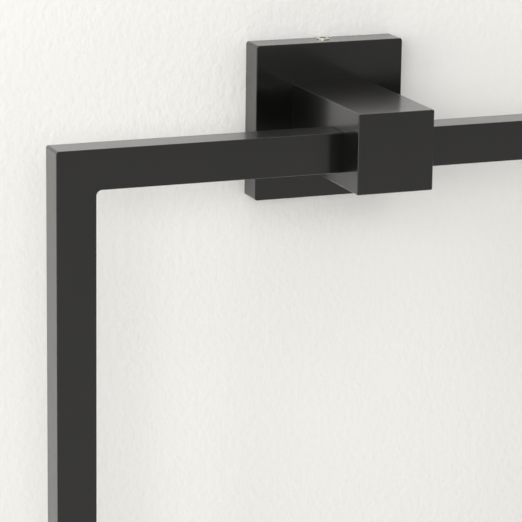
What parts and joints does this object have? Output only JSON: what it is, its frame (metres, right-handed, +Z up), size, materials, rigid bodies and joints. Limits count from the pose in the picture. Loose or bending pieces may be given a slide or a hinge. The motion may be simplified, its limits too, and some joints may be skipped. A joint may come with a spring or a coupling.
{
  "type": "towel ring",
  "caption": "Square towel ring: a closed flat-bar frame carried through a square post on a hollow wall plate, locked to a hidden bracket by a grub screw.",
  "frame": {"origin": "centre of the cover plate's back, on the plane of the wall", "axes": "+X to the right as seen from the room, +Y into the wall, +Z up"},
  "size_m": [0.2, 0.09, 0.2199],
  "materials": {
    "black_coat": "satin",
    "bracket_steel": "satin",
    "bright_screw": "bright",
    "zinc_screw": "satin"
  },
  "bodies": {
    "root": {"cover_plate": "black_coat", "post": "black_coat", "ring": "black_coat", "mounting_bracket": "bracket_steel", "plate_grub_screw": "bright_screw", "ring_grub_screw": "bright_screw", "post_screw_upper": "zinc_screw", "post_screw_lower": "zinc_screw", "wall_screw_left": "zinc_screw", "wall_screw_right": "zinc_screw"}
  },
  "joints": []
}
